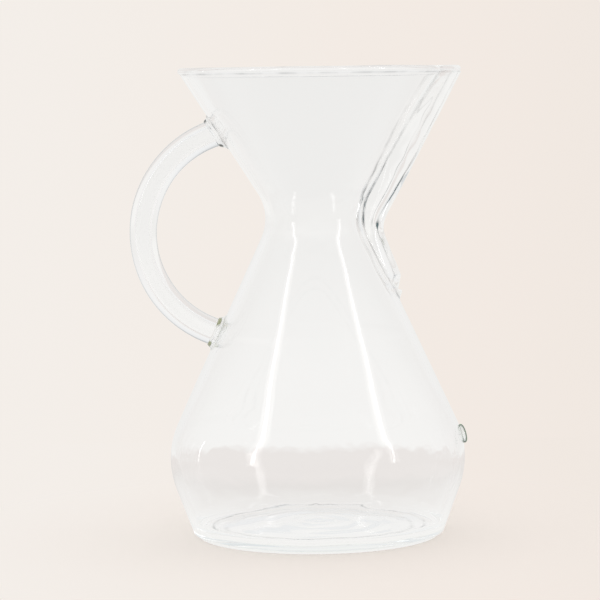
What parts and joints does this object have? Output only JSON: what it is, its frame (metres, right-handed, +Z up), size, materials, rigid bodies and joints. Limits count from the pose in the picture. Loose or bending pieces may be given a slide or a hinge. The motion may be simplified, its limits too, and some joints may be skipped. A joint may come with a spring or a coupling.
{
  "type": "pour-over coffee maker",
  "caption": "Clear glass pour-over coffee maker: conical flask, narrow waist and filter funnel blown as one, with a pour channel down one side and a welded glass tube handle.",
  "frame": {"origin": "on the vessel's vertical axis, in the plane of the foot ring", "axes": "+Z up, +X towards the pour channel and the fill button, -X towards the handle"},
  "size_m": [0.1727, 0.1524, 0.2414],
  "materials": {
    "clear_glass": "clear fire-polished borosilicate glass",
    "handle_glass": "clear drawn borosilicate tube",
    "weld_glass": "clear glass that looks green where it is thick"
  },
  "bodies": {
    "root": {"vessel": "clear_glass", "handle": "handle_glass", "upper_handle_weld": "weld_glass", "lower_handle_weld": "weld_glass", "volume_button": "weld_glass"}
  },
  "joints": []
}
